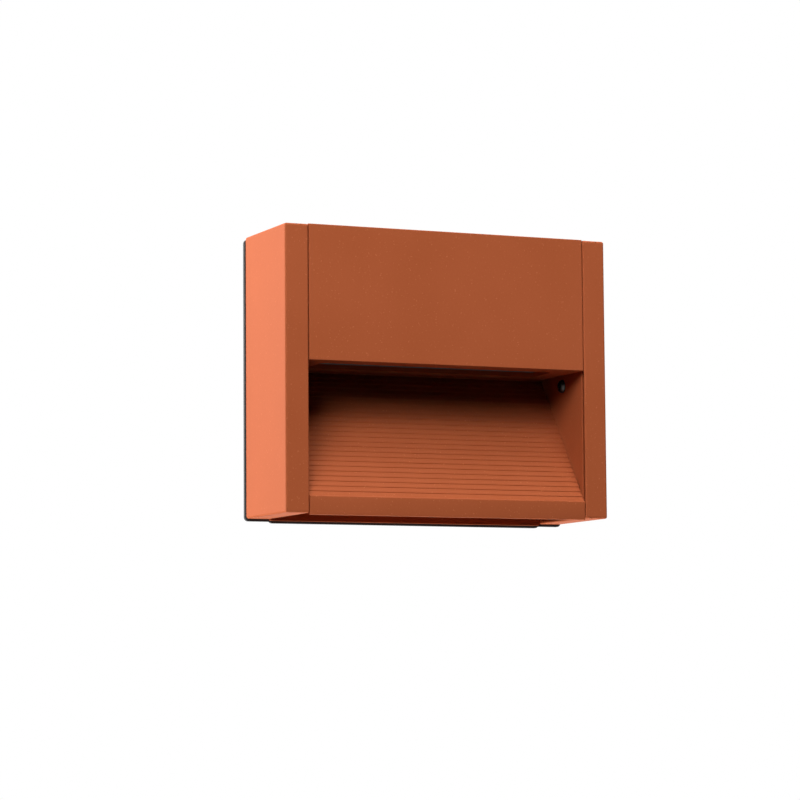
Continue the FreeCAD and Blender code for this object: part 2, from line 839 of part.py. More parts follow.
def led_carrier():
    """Extruded aluminium heat sink that slides into grooves, with legs that hold the glass down."""
    foot_top = rail_top + carrier_foot_thickness
    press_bottom = lens_top + carrier_press_gap
    front_leg = window_front - lens_edge_cover / 2
    rear_leg = window_rear + lens_edge_cover / 2
    front_foot = visor_inner_front + groove_gap
    rear_foot = visor_inner_rear - groove_gap
    points = [
        (front_foot, rail_top), (front_leg, rail_top), (front_leg, press_bottom),
        (front_leg + carrier_press_rib, press_bottom), (front_leg + carrier_leg_thickness, foot_top),
        (front_leg + carrier_leg_thickness, carrier_web_bottom),
        (rear_leg - carrier_leg_thickness, carrier_web_bottom),
        (rear_leg - carrier_leg_thickness, foot_top), (rear_leg - carrier_press_rib, press_bottom),
        (rear_leg, press_bottom), (rear_leg, rail_top), (rear_foot, rail_top), (rear_foot, foot_top),
        (rear_leg, foot_top), (rear_leg, carrier_web_top), (front_leg, carrier_web_top),
        (front_leg, foot_top), (front_foot, foot_top),
    ]
    half = half_body - carrier_end_setback
    carrier = prism(points, -half, half)
    for x in board_screw_xs():
        start = Vec(x, window_middle_y, carrier_web_bottom - cut_overrun)
        along = Vec(0, 0, carrier_web_thickness + cut_overrun * 2)
        carrier = carrier.cut(rod(m3_radius + thread_clearance, start, along))
    return carrier


def board_screw_xs():
    """Two screw places near the ends of the LED board."""
    return [-board_half + board_screw_inset, board_half - board_screw_inset]


def led_board():
    """Aluminium-core circuit board under the carrier's web."""
    board = block(
        -board_half, board_half, window_middle_y - board_width / 2, window_middle_y + board_width / 2,
        board_bottom, carrier_web_bottom,
    )
    for x in board_screw_xs():
        start = Vec(x, window_middle_y, board_bottom - cut_overrun)
        board = board.cut(rod(m3_clearance_radius, start, Vec(0, 0, board_thickness + cut_overrun * 2)))
    return board


def led_chips():
    """A row of LED packages on the board, facing down."""
    chips = []
    first = -(chip_count - 1) * chip_pitch / 2
    for i in range(chip_count):
        x = first + i * chip_pitch
        if min(abs(x - place) for place in board_screw_xs()) < m3_head_radius + chip_length / 2:
            continue
        chips.append(block(
            x - chip_length / 2, x + chip_length / 2,
            window_middle_y - chip_width / 2, window_middle_y + chip_width / 2,
            board_bottom - chip_height, board_bottom,
        ))
    return Part.makeCompound(chips)


def board_screws():
    """Two screws up through the board into the carrier."""
    length = board_thickness + carrier_web_thickness
    places = [Vec(x, window_middle_y, board_bottom) for x in board_screw_xs()]
    return Part.makeCompound([m3_screw(place, Vec(0, 0, 1), length) for place in places])


def driver_screw_places():
    """Four screw places in the ears of the LED driver."""
    reach = driver_length / 2 + driver_ear_length / 2
    rows = [driver_y - driver_screw_spacing / 2, driver_y + driver_screw_spacing / 2]
    return [(driver_offset + side * reach, y) for side in (-1, 1) for y in rows]


def terminal_fixing_places():
    """Two screw places in the end tabs of the terminal block."""
    reach = terminal_half + terminal_end_tab / 2
    return [(terminal_offset - reach, terminal_y), (terminal_offset + reach, terminal_y)]


def earth_place():
    """The middle of the earth screw, beside the last pole's lead."""
    x = pole_xs()[-1] + lead_short_run + lug_barrel_length + lug_radius - lug_thickness
    return x, visor_inner_front + earth_setback


def gear_tray():
    """Aluminium sheet that carries the driver and the terminal block, with tapped holes."""
    tray = block(
        tray_left, tray_right,
        visor_inner_front + groove_gap, visor_inner_rear - groove_gap, tray_bottom, tray_top,
    )
    for x, y in driver_screw_places() + terminal_fixing_places() + [earth_place()]:
        start = Vec(x, y, tray_bottom - cut_overrun)
        along = Vec(0, 0, tray_thickness + cut_overrun * 2)
        tray = tray.cut(rod(m3_radius + thread_clearance, start, along))
    return tray


def tray_screw(x, y, clamped):
    """A screw down through a clamped thickness and the tray."""
    length = clamped + tray_thickness + tray_screw_overhang
    return m3_screw(Vec(x, y, tray_top + clamped), Vec(0, 0, -1), length)


def led_driver():
    """Potted constant-current driver with a fixing ear at each end."""
    front = driver_y - driver_width / 2
    rear = driver_y + driver_width / 2
    half = driver_length / 2
    reach = half + driver_ear_length
    case = rounded_block(
        driver_offset - half, driver_offset + half, front, rear,
        tray_top, tray_top + driver_thickness, driver_corner_radius, Vec(0, 0, 1),
    )
    ears = rounded_block(
        driver_offset - reach, driver_offset + reach, front, rear,
        tray_top, tray_top + driver_ear_thickness, driver_corner_radius, Vec(0, 0, 1),
    )
    driver = case.fuse(ears)
    for x, y in driver_screw_places():
        start = Vec(x, y, tray_top - cut_overrun)
        along = Vec(0, 0, driver_ear_thickness + cut_overrun * 2)
        driver = driver.cut(rod(m3_clearance_radius, start, along))
    return driver.removeSplitter()


def driver_screws():
    """Four screws through the driver's ears into the tray."""
    screws = [tray_screw(x, y, driver_ear_thickness) for x, y in driver_screw_places()]
    return Part.makeCompound(screws)


def pole_xs():
    """The middles of the terminal block's poles."""
    first = terminal_offset - (terminal_poles - 1) * terminal_pitch / 2
    return [first + i * terminal_pitch for i in range(terminal_poles)]


def clamp_screw_places():
    """Two clamp screws on each pole, one for each wire entry."""
    reach = terminal_depth / 2 - terminal_screw_setback
    return [(x, terminal_y + side * reach) for x in pole_xs() for side in (-1, 1)]


def terminal_block():
    """Three-pole block that joins the mains cable to the leads."""
    front = terminal_y - terminal_depth / 2
    rear = terminal_y + terminal_depth / 2
    top = tray_top + terminal_height
    left = terminal_offset - terminal_half
    body = block(left, left + terminal_half * 2, front, rear, tray_top, top)
    tabs = block(
        terminal_offset - terminal_reach, terminal_offset + terminal_reach,
        terminal_y - terminal_tab_width / 2, terminal_y + terminal_tab_width / 2,
        tray_top, tray_top + terminal_tab_thickness,
    )
    body = body.fuse(tabs)
    for x, y in terminal_fixing_places():
        start = Vec(x, y, tray_top - cut_overrun)
        along = Vec(0, 0, terminal_tab_thickness + cut_overrun * 2)
        body = body.cut(rod(m3_clearance_radius, start, along))
    for x, y in clamp_screw_places():
        well = rod(terminal_well_radius, Vec(x, y, top - terminal_well_depth),
                   Vec(0, 0, terminal_well_depth + cut_overrun))
        body = body.cut(well)
    level = tray_top + terminal_wire_level
    for x in pole_xs():
        for face, inward in ((front, 1), (rear, -1)):
            start = Vec(x, face - inward * cut_overrun, level)
            along = Vec(0, inward * (terminal_wire_depth + cut_overrun), 0)
            body = body.cut(rod(terminal_wire_radius, start, along))
    return body.removeSplitter()


def terminal_screws():
    """Six slotted clamp screws, sunk in the wells of the terminal block."""
    floor = tray_top + terminal_height - terminal_well_depth
    top = floor + terminal_screw_height
    screws = []
    for x, y in clamp_screw_places():
        head = rod(terminal_screw_radius, Vec(x, y, floor), Vec(0, 0, terminal_screw_height))
        slot = block(
            x - terminal_well_radius, x + terminal_well_radius,
            y - terminal_screw_slot / 2, y + terminal_screw_slot / 2,
            top - terminal_screw_slot_depth, top + cut_overrun,
        )
        screws.append(head.cut(slot))
    return Part.makeCompound(screws)


def terminal_fixings():
    """Two screws through the terminal block's tabs into the tray."""
    screws = [tray_screw(x, y, terminal_tab_thickness) for x, y in terminal_fixing_places()]
    return Part.makeCompound(screws)


def earth_lug():
    """Crimped ring terminal under the earth screw, with its barrel toward the terminal block."""
    x, y = earth_place()
    ring = rod(lug_radius, Vec(x, y, tray_top), Vec(0, 0, lug_thickness))
    barrel_start = Vec(x - lug_radius + lug_thickness, y, lug_barrel_level())
    barrel = rod(lug_barrel_radius, barrel_start, Vec(-lug_barrel_length, 0, 0))
    hole = rod(m3_clearance_radius, Vec(x, y, tray_bottom), Vec(0, 0, tray_thickness + lug_thickness * 2))
    return ring.fuse(barrel).cut(hole).removeSplitter()


def lug_barrel_level():
    """The height of the lug's barrel, just clear of the tray."""
    return tray_top + lug_barrel_radius + thread_clearance


def earth_screw():
    """Screw that clamps the earth lug to the tray."""
    return tray_screw(*earth_place(), lug_thickness)


def lead(points):
    """An insulated lead: straight runs joined by tangent arcs."""
    pieces = []
    last = points[0]
    for before, here, after in zip(points, points[1:], points[2:]):
        shorter = min((here - before).Length, (after - here).Length)
        half_turn = (here - before).getAngle(after - here) / 2
        radius = lead_bend_share * shorter / math.tan(half_turn)
        start, middle, end = corner(before, here, after, radius)
        pieces.append(rod(lead_radius, last, start - last))
        inward = (middle - here).normalize()
        centre = middle + inward * radius
        turn_axis = (here - before).cross(after - here)
        section = Part.Face(Part.Wire(Part.makeCircle(lead_radius, start, here - before)))
        pieces.append(section.revolve(centre, turn_axis, math.degrees(half_turn * 2)))
        last = end
    pieces.append(rod(lead_radius, last, points[-1] - last))
    solid = pieces[0]
    for piece in pieces[1:]:
        solid = solid.fuse(piece)
    return solid


def wire_entry(pole):
    """The bottom of a pole's front wire entry."""
    front = terminal_y - terminal_depth / 2
    return Vec(pole_xs()[pole], front + terminal_wire_depth, tray_top + terminal_wire_level)


def mains_leads():
    """Two leads from the terminal block to the driver's input end."""
    driver_end = driver_offset + driver_length / 2
    leads = []
    for pole in (0, 1):
        start = wire_entry(pole)
        y = start.y - terminal_wire_depth - lead_first_run - pole * lead_gap
        leads.append(lead([start, Vec(start.x, y, start.z), Vec(driver_end, y, start.z)]))
    return Part.makeCompound(leads)


def led_leads():
    """Two leads from the driver's output end, down past the tray to the LED board."""
    driver_end = driver_offset - driver_length / 2
    out_x = -half_body + lead_end_gap
    high = tray_top + driver_thickness / 2
    low = carrier_web_bottom - lead_radius - thread_clearance
    leads = []
    for side in (-1, 1):
        y = window_middle_y + side * lead_gap / 2
        places = [(driver_end, high), (out_x, high), (out_x, low), (-board_half, low)]
        leads.append(lead([Vec(x, y, z) for x, z in places]))
    return Part.makeCompound(leads)


def earth_lead():
    """The earth lead from the last pole down to the lug on the tray."""
    start = wire_entry(-1)
    x, y = earth_place()
    level = lug_barrel_level()
    barrel_end = x - lug_radius + lug_thickness - lug_barrel_length
    return lead([start, Vec(start.x, y, start.z), Vec(start.x, y, level), Vec(barrel_end, y, level)])


right_frame = end_frame()
right_plate = side_plate()
right_gasket = end_gasket()

nodes = {
    "left_end_frame": mirrored(right_frame),
    "right_end_frame": right_frame,
    "left_side_plate": mirrored(right_plate),
    "right_side_plate": right_plate,
    "left_end_gasket": mirrored(right_gasket),
    "right_end_gasket": right_gasket,
    "side_plate_screws": side_plate_screws(),
    "cheek_screws": inner_screws(cheek_screw_y, cheek_screw_z, cheek_x, cheek_screw_length),
    "frame_screws": inner_screws(frame_screw_y, frame_screw_z, cheek_x, cheek_screw_length),
    "locking_screws": inner_screws(
        ear_hole_y, ear_centre_z, back_plate_half - back_plate_thickness, lock_screw_length,
    ),
    "visor_housing": visor_housing(),
    "ribbed_reflector": ribbed_reflector(),
    "back_plate": back_plate(),
    "wall_gasket": wall_gasket(),
    "cable_grommet": cable_grommet(),
    "lens": lens(),
    "lens_gasket": lens_gasket(),
    "led_carrier": led_carrier(),
    "gear_tray": gear_tray(),
    "led_board": led_board(),
    "led_chips": led_chips(),
    "board_screws": board_screws(),
    "led_driver": led_driver(),
    "driver_screws": driver_screws(),
    "terminal_block": terminal_block(),
    "terminal_screws": terminal_screws(),
    "terminal_fixings": terminal_fixings(),
    "earth_lug": earth_lug(),
    "earth_screw": earth_screw(),
    "mains_leads": mains_leads(),
    "led_leads": led_leads(),
    "earth_lead": earth_lead(),
}

for name, shape in nodes.items():
    shape.exportStep(os.path.join("parts", name + ".step"))
    print(name, "solids", len(shape.Solids), "valid", shape.isValid(), "volume", round(shape.Volume, 1))
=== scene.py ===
import math

import bmesh
import bpy
from mathutils import Matrix, Vector


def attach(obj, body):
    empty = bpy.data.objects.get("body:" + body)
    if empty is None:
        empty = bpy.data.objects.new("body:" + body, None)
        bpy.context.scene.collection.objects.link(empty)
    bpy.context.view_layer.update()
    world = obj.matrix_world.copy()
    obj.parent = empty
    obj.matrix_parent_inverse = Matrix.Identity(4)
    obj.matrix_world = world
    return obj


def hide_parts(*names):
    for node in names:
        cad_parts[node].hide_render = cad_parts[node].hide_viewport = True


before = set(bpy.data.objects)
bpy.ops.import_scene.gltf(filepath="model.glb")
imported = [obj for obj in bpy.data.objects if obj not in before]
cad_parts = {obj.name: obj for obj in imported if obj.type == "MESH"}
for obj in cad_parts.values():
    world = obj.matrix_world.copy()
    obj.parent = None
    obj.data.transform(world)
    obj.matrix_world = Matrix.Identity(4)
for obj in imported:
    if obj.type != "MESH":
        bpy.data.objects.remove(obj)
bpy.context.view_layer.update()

# The end frames are two hollow aluminium castings, sprayed with a fine terracotta powder coat
# and baked. They close the light at both ends and hold everything between them by screws.
# The coat's real grain is some 0.2 mm, too fine to show, so its patterns are drawn much coarser.

MM = 0.001
COAT_MID = "#A55431"
COAT_LIGHT = "#AC5936"
# The speck tone is a painted glint: pale sparkles of light on the coat.
COAT_GLINT = "#C9764F"
COAT_CLOUD = 60.0
COAT_PEEL = 3.25
COAT_GRAIN = 1.3
GLINT_SIZE = 0.9
CAST_DEPTH = 0.030
SMOOTH_DEPTH = 0.024


def linear(code):
    """An sRGB hex colour as linear red, green and blue."""
    parts = [int(code[i:i + 2], 16) / 255 for i in (1, 3, 5)]
    return [p / 12.92 if p <= 0.04045 else ((p + 0.055) / 1.055) ** 2.4 for p in parts] + [1.0]


def add(tree, kind, values=None, links=None, **settings):
    """Adds one node to a tree, with its settings, its fixed values and what feeds it."""
    made = tree.nodes.new(kind)
    for key, value in settings.items():
        setattr(made, key, value)
    for key, value in (values or {}).items():
        made.inputs[key].default_value = value
    for key, source in (links or {}).items():
        tree.links.new(source, made.inputs[key])
    return made


def per_metre(size_mm):
    """The scale of a noise whose features are about this many millimetres wide."""
    return 1.0 / (size_mm * MM)


def new_material(name):
    """A material with its node tree, its shader and the place on the piece in metres."""
    made = bpy.data.materials.new(name)
    made.use_nodes = True
    tree = made.node_tree
    place = add(tree, "ShaderNodeTexCoord").outputs["Object"]
    return made, tree, tree.nodes["Principled BSDF"], place


def feed(tree, shader, tone, bump, rough=None):
    """Joins a colour, a bump and a roughness to a shader."""
    tree.links.new(tone.outputs[2], shader.inputs["Base Color"])
    tree.links.new(bump.outputs["Normal"], shader.inputs["Normal"])
    if rough:
        tree.links.new(rough.outputs["Result"], shader.inputs["Roughness"])


def coated(name, depth_mm, streak=1.0, mid=COAT_MID, light=COAT_LIGHT):
    """Fine matt polyester powder coat: soft highlights, an orange-peel skin, faint clouds of tone
    and a few pale specks, which are painted glints."""
    made, tree, shader, place = new_material(name)
    along = add(tree, "ShaderNodeMapping", {"Scale": (streak, 1.0, 1.0)}, {"Vector": place})
    cloud = add(tree, "ShaderNodeTexNoise", {"Scale": per_metre(COAT_CLOUD), "Detail": 3.0}, {"Vector": place})
    fleck = add(tree, "ShaderNodeTexNoise", {"Scale": per_metre(COAT_GRAIN), "Detail": 2.0}, {"Vector": place})
    peel = add(tree, "ShaderNodeTexNoise", {"Scale": per_metre(COAT_PEEL), "Detail": 4.0},
               {"Vector": along.outputs["Vector"]})
    faint = add(tree, "ShaderNodeMath", {1: 0.35}, {0: fleck.outputs["Fac"]}, operation="MULTIPLY")
    share = add(tree, "ShaderNodeMath", {}, {0: cloud.outputs["Fac"], 1: faint.outputs[0]}, operation="ADD")
    span = add(tree, "ShaderNodeMapRange", {"From Min": 0.45, "From Max": 0.95}, {"Value": share.outputs[0]})
    plain = add(tree, "ShaderNodeMix", {6: linear(mid), 7: linear(light)},
                {0: span.outputs["Result"]}, data_type="RGBA")
    # Painted glints: sparse pale specks mixed into the colour, standing in for sparkles of light.
    glint_noise = add(tree, "ShaderNodeTexNoise", {"Scale": per_metre(GLINT_SIZE), "Detail": 0.0}, {"Vector": place})
    glint_share = add(tree, "ShaderNodeMapRange", {"From Min": 0.76, "From Max": 0.84, "To Max": 0.45},
                 {"Value": glint_noise.outputs["Fac"]})
    tone = add(tree, "ShaderNodeMix", {7: linear(COAT_GLINT)},
               {0: glint_share.outputs["Result"], 6: plain.outputs[2]}, data_type="RGBA")
    rough = add(tree, "ShaderNodeMapRange", {"To Min": 0.50, "To Max": 0.60}, {"Value": cloud.outputs["Fac"]})
    skin = add(tree, "ShaderNodeMath", {1: 0.5}, {0: peel.outputs["Fac"], 2: fleck.outputs["Fac"]},
               operation="MULTIPLY_ADD")
    bump = add(tree, "ShaderNodeBump", {"Strength": 0.35, "Distance": depth_mm * MM},
               {"Height": skin.outputs[0]})
    feed(tree, shader, tone, bump, rough)
    shader.inputs["IOR"].default_value = 1.5
    shader.inputs["Specular IOR Level"].default_value = 0.04
    return made


def finish_node(name, material):
    """Gives a CAD node its material."""
    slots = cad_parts[name].data.materials
    slots.clear()
    slots.append(material)


cast_coat = coated("terracotta_powder_coat_on_casting", CAST_DEPTH)
finish_node("left_end_frame", cast_coat)
finish_node("right_end_frame", cast_coat)

# The side plates are 1 mm sheet, cut and punched, with the same coat. They shut the ends of the
# extrusions, sit in a rebate of the end frames, and show as the cheeks of the recess.

sheet_coat = coated("terracotta_powder_coat_on_sheet", SMOOTH_DEPTH)
finish_node("left_side_plate", sheet_coat)
finish_node("right_side_plate", sheet_coat)

# The visor housing is an aluminium extrusion, sawn to length and coated: the hood in front, a light
# window in its underside, and a shaped drip bead along the rear edge of the underside.

DRAWN_STREAK = 0.25

finish_node("visor_housing", coated("terracotta_powder_coat_on_extrusion", SMOOTH_DEPTH, DRAWN_STREAK))

# The ribbed reflector is one extrusion: a front lip, a slope with fine ribs that break up the
# light, a flange behind the visor, and two screw ports. Its ribs are low and soft, as the coat fills
# their corners, and they run down to the lip. The coat is drawn a shade darker here as painted shade, since the
# slope faces up and catches more of the lamps.

HALF_BODY = 84.95
FRONT = -62.5
LIP_BOTTOM = -81.0
LIP_TOP = -70.3
WALL = 2.2
FLANGE_FRONT = -7.9
FLANGE_REAR = -6.1
FLANGE_HEIGHT = 12.0
SLOPE_FOOT = -71.9
SLOPE_TOP = 4.4
SLOPE = math.atan2(SLOPE_TOP - SLOPE_FOOT, FLANGE_FRONT - FRONT)
SLOPE_LENGTH = math.hypot(SLOPE_TOP - SLOPE_FOOT, FLANGE_FRONT - FRONT)

FOOT_ROUND = 0.4
LIP_ROUND = 0.8
CREASE_ROUND = 0.3
END_ROUND = 0.5

RIB_PITCH = 3.65
RIB_GROOVE = 1.85
RIB_DEPTH = 0.34
RIB_CORNER = 0.26
RIB_LAND = 3.45
RIB_FIRST = RIB_LAND + RIB_GROOVE
RIB_COUNT = 23
GROOVE_DRAFT = 0.12

PORT_OUTER = 3.6
PORT_INNER = 2.05
PORT_DROP = 4.8
PORT_FROM_FOOT = 10.0
PORT_FROM_TOP = 19.9

# Both tones are the body coat drawn darker: painted shade on the slope, which faces up.
SLOPE_SHADED_MID = "#A15230"
SLOPE_SHADED_LIGHT = "#A85735"


def on_slope(along, out):
    """A place on the reflector in Y and Z: up from the foot, and out from the rib tips."""
    y = FRONT + along * math.cos(SLOPE) - out * math.sin(SLOPE)
    z = SLOPE_FOOT + along * math.sin(SLOPE) + out * math.cos(SLOPE)
    return y, z


def rounded(points, steps=6):
    """An outline in two axes with some corners rounded: each point is (a, b) or (a, b, radius)."""
    done = []
    for i, point in enumerate(points):
        here = Vector(point[:2])
        if len(point) < 3:
            done.append(here)
            continue
        back = (Vector(points[i - 1][:2]) - here).normalized()
        ahead = (Vector(points[(i + 1) % len(points)][:2]) - here).normalized()
        half = back.angle(ahead) / 2
        middle = here + (back + ahead).normalized() * (point[2] / math.sin(half))
        start = here + back * (point[2] / math.tan(half)) - middle
        end = here + ahead * (point[2] / math.tan(half)) - middle
        turn = start.angle_signed(end)
        for step in range(steps + 1):
            spin = -turn * step / steps
            c, s = math.cos(spin), math.sin(spin)
            done.append(middle + Vector((start.x * c - start.y * s, start.x * s + start.y * c)))
    return done


def mesh_piece(name, mesh, material, sharp_degrees=35):
    """Wraps a built bmesh as an object, smooth but for its sharp edges, with outward faces."""
    bmesh.ops.remove_doubles(mesh, verts=mesh.verts, dist=1e-7)
    bmesh.ops.recalc_face_normals(mesh, faces=mesh.faces)
    data = bpy.data.meshes.new(name)
    mesh.to_mesh(data)
    mesh.free()
    for polygon in data.polygons:
        polygon.use_smooth = True
    data.set_sharp_from_angle(angle=math.radians(sharp_degrees))
    data.materials.append(material)
    made = bpy.data.objects.new(name, data)
    bpy.context.scene.collection.objects.link(made)
    return made


def bar(mesh, outline, half, front, radius, steps=5):
    """A straight bar along X with an outline in Y and Z, its front corners rounded at both ends."""
    turns = [math.pi / 2 * k / steps for k in range(steps + 1)]
    places = [(half - radius + radius * math.sin(t), front + radius - radius * math.cos(t)) for t in turns]
    places = [(-x, y) for x, y in reversed(places)] + places
    rings = [[mesh.verts.new((x * MM, max(p[0], y) * MM, p[1] * MM)) for p in outline] for x, y in places]
    count = len(outline)
    for low, high in zip(rings, rings[1:]):
        for i in range(count):
            j = (i + 1) % count
            mesh.faces.new((low[i], low[j], high[j], high[i]))
    mesh.faces.new(rings[0])
    mesh.faces.new(rings[-1])


def tube(mesh, centre, outer, inner, x_from, x_to, around=40):
    """A screw port along X: a tube with open ends."""
    loops = []
    for radius, x in ((outer, x_from), (outer, x_to), (inner, x_to), (inner, x_from)):
        ring = []
        for i in range(around):
            turn = math.tau * i / around
            y, z = centre[0] + radius * math.cos(turn), centre[1] + radius * math.sin(turn)
            ring.append(mesh.verts.new((x * MM, y * MM, z * MM)))
        loops.append(ring)
    for k in range(4):
        a, b = loops[k], loops[(k + 1) % 4]
        for i in range(around):
            j = (i + 1) % around
            mesh.faces.new((a[i], a[j], b[j], b[i]))


# The reflector's coat is a darker copy of the body's coat: painted shade.
shaded_slope_coat = coated("terracotta_coat_painted_darker_on_ribs", SMOOTH_DEPTH, DRAWN_STREAK, SLOPE_SHADED_MID, SLOPE_SHADED_LIGHT)
grooves_end = RIB_FIRST + RIB_PITCH * RIB_COUNT
drop = WALL / math.cos(SLOPE)
reflector_mesh = bmesh.new()
bar(reflector_mesh, rounded([
    (FRONT, LIP_BOTTOM, FOOT_ROUND),
    (FRONT, LIP_TOP, LIP_ROUND),
    on_slope((LIP_TOP - SLOPE_FOOT) / math.sin(SLOPE), 0) + (CREASE_ROUND,),
    on_slope(RIB_LAND, 0) + (GROOVE_DRAFT,),
    on_slope(RIB_LAND + GROOVE_DRAFT, -RIB_DEPTH) + (GROOVE_DRAFT,),
    on_slope(grooves_end - GROOVE_DRAFT, -RIB_DEPTH) + (GROOVE_DRAFT,),
    on_slope(grooves_end, 0) + (GROOVE_DRAFT,),
    (FLANGE_FRONT, SLOPE_TOP),
    (FLANGE_FRONT, SLOPE_TOP + FLANGE_HEIGHT),
    (FLANGE_REAR, SLOPE_TOP + FLANGE_HEIGHT),
    (FLANGE_REAR, SLOPE_TOP + (FLANGE_REAR - FLANGE_FRONT) * math.tan(SLOPE) - drop),
    (FRONT + WALL, SLOPE_FOOT + WALL * math.tan(SLOPE) - drop, WALL),
    (FRONT + WALL, LIP_BOTTOM, CREASE_ROUND),
]), HALF_BODY, FRONT, END_ROUND)
for place_along in (PORT_FROM_FOOT, SLOPE_LENGTH - PORT_FROM_TOP):
    tube(reflector_mesh, on_slope(place_along, -PORT_DROP), PORT_OUTER, PORT_INNER, -HALF_BODY, HALF_BODY)
reflector = mesh_piece("reflector", reflector_mesh, shaded_slope_coat)


def grown(piece, tree, sizes):
    """Runs a Geometry Nodes tree on a piece and leaves the result as its plain mesh."""
    modifier = piece.modifiers.new("grow", "NODES")
    modifier.node_group = tree
    for item in tree.interface.items_tree:
        if item.in_out == "INPUT" and item.name in sizes:
            modifier[item.identifier] = sizes[item.name]
    bpy.context.view_layer.update()
    shown = piece.evaluated_get(bpy.context.evaluated_depsgraph_get())
    piece_mesh = bpy.data.meshes.new_from_object(shown)
    piece.modifiers.clear()
    piece.data = piece_mesh
    return piece


rib_sizes = {
    "Length": HALF_BODY * 2 * MM,
    "Rib Pitch": RIB_PITCH * MM,
    "Rib Count": float(RIB_COUNT),
    "Rib Width": (RIB_PITCH - RIB_GROOVE) * MM,
    "Rib Height": RIB_DEPTH * MM,
    "Corner Radius": RIB_CORNER * MM,
    "Slope": SLOPE,
}
ribs = bpy.data.node_groups.new("reflector_ribs", "GeometryNodeTree")
ribs.interface.new_socket("Geometry", in_out="INPUT", socket_type="NodeSocketGeometry")
for title, size in rib_sizes.items():
    ribs.interface.new_socket(title, in_out="INPUT", socket_type="NodeSocketFloat").default_value = size
ribs.interface.new_socket("Geometry", in_out="OUTPUT", socket_type="NodeSocketGeometry")
given = add(ribs, "NodeGroupInput").outputs

rise = add(ribs, "ShaderNodeMath", {}, {0: given["Slope"]}, operation="SINE")
run = add(ribs, "ShaderNodeMath", {}, {0: given["Slope"]}, operation="COSINE")
step_y = add(ribs, "ShaderNodeMath", {}, {0: run.outputs[0], 1: given["Rib Pitch"]}, operation="MULTIPLY")
step_z = add(ribs, "ShaderNodeMath", {}, {0: rise.outputs[0], 1: given["Rib Pitch"]}, operation="MULTIPLY")
one_step = add(ribs, "ShaderNodeCombineXYZ", {}, {"Y": step_y.outputs[0], "Z": step_z.outputs[0]})
first_y, first_z = on_slope(RIB_FIRST + (RIB_PITCH - RIB_GROOVE) / 2, -RIB_DEPTH)
row = add(ribs, "GeometryNodeMeshLine", {"Start Location": (0, first_y * MM, first_z * MM)},
          {"Count": given["Rib Count"], "Offset": one_step.outputs[0]})

half_length = add(ribs, "ShaderNodeMath", {1: 0.5}, {0: given["Length"]}, operation="MULTIPLY")
other_half = add(ribs, "ShaderNodeMath", {1: -0.5}, {0: given["Length"]}, operation="MULTIPLY")
right_end = add(ribs, "ShaderNodeCombineXYZ", {}, {"X": half_length.outputs[0]})
left_end = add(ribs, "ShaderNodeCombineXYZ", {}, {"X": other_half.outputs[0]})
spine = add(ribs, "GeometryNodeCurvePrimitiveLine", {},
            {"Start": left_end.outputs[0], "End": right_end.outputs[0]})
doubled = add(ribs, "ShaderNodeMath", {1: 2.0}, {0: given["Rib Height"]}, operation="MULTIPLY")
section = add(ribs, "GeometryNodeCurvePrimitiveQuadrilateral", {},
              {"Width": given["Rib Width"], "Height": doubled.outputs[0]})
softened = add(ribs, "GeometryNodeFilletCurve", {"Count": 4},
               {"Curve": section.outputs["Curve"], "Radius": given["Corner Radius"]}, mode="POLY")
one_rib = add(ribs, "GeometryNodeCurveToMesh", {"Fill Caps": True},
              {"Curve": spine.outputs["Curve"], "Profile Curve": softened.outputs["Curve"]})

tilt = add(ribs, "ShaderNodeCombineXYZ", {}, {"X": given["Slope"]})
placed = add(ribs, "GeometryNodeInstanceOnPoints", {},
             {"Points": row.outputs["Mesh"], "Instance": one_rib.outputs["Mesh"], "Rotation": tilt.outputs[0]})
solid_ribs = add(ribs, "GeometryNodeRealizeInstances", {}, {"Geometry": placed.outputs["Instances"]})
coated_ribs = add(ribs, "GeometryNodeSetMaterial", {"Material": shaded_slope_coat},
                  {"Geometry": solid_ribs.outputs["Geometry"]})
smooth_ribs = add(ribs, "GeometryNodeSetShadeSmooth", {"Shade Smooth": True},
                  {"Geometry": coated_ribs.outputs["Geometry"]})
joined = add(ribs, "GeometryNodeJoinGeometry")
ribs.links.new(smooth_ribs.outputs["Geometry"], joined.inputs["Geometry"])
ribs.links.new(given["Geometry"], joined.inputs["Geometry"])
add(ribs, "NodeGroupOutput", {}, {"Geometry": joined.outputs["Geometry"]})

grown(reflector, ribs, rib_sizes)
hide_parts("ribbed_reflector")
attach(reflector, "root")

# The round head screws are stainless, cold headed and rolled, with a hex socket, and drawn nearly black as
# painted shade. One pair joins the cheeks to the end frames, a second sits low in the cavity, and a third locks
# the ears.
# The scuffs are drawn at 0.8 mm, as real ones of a tenth of that wouldn't show.

# Both steel tones are drawn nearly black: painted shade.
STEEL_MID = "#2A2928"
STEEL_LIGHT = "#403E3B"
STEEL_SCUFF = 0.8


def stainless_painted_dark():
    """A2 stainless drawn nearly black as painted shade, scuffed by the heading die: dark metal with a few grey
    glints.
    """
    made, tree, shader, place = new_material("stainless_screw_steel_painted_dark")
    scuff = add(tree, "ShaderNodeTexNoise", {"Scale": per_metre(STEEL_SCUFF), "Detail": 5.0}, {"Vector": place})
    tone = add(tree, "ShaderNodeMix", {6: linear(STEEL_MID), 7: linear(STEEL_LIGHT)},
               {0: scuff.outputs["Fac"]}, data_type="RGBA")
    rough = add(tree, "ShaderNodeMapRange", {"To Min": 0.30, "To Max": 0.45}, {"Value": scuff.outputs["Fac"]})
    bump = add(tree, "ShaderNodeBump", {"Strength": 0.2, "Distance": 0.01 * MM}, {"Height": scuff.outputs["Fac"]})
    feed(tree, shader, tone, bump, rough)
    shader.inputs["Metallic"].default_value = 1.0
    return made


steel = stainless_painted_dark()
for name in ("side_plate_screws", "cheek_screws", "frame_screws", "locking_screws", "board_screws",
             "driver_screws", "terminal_fixings", "earth_screw"):
    finish_node(name, steel)

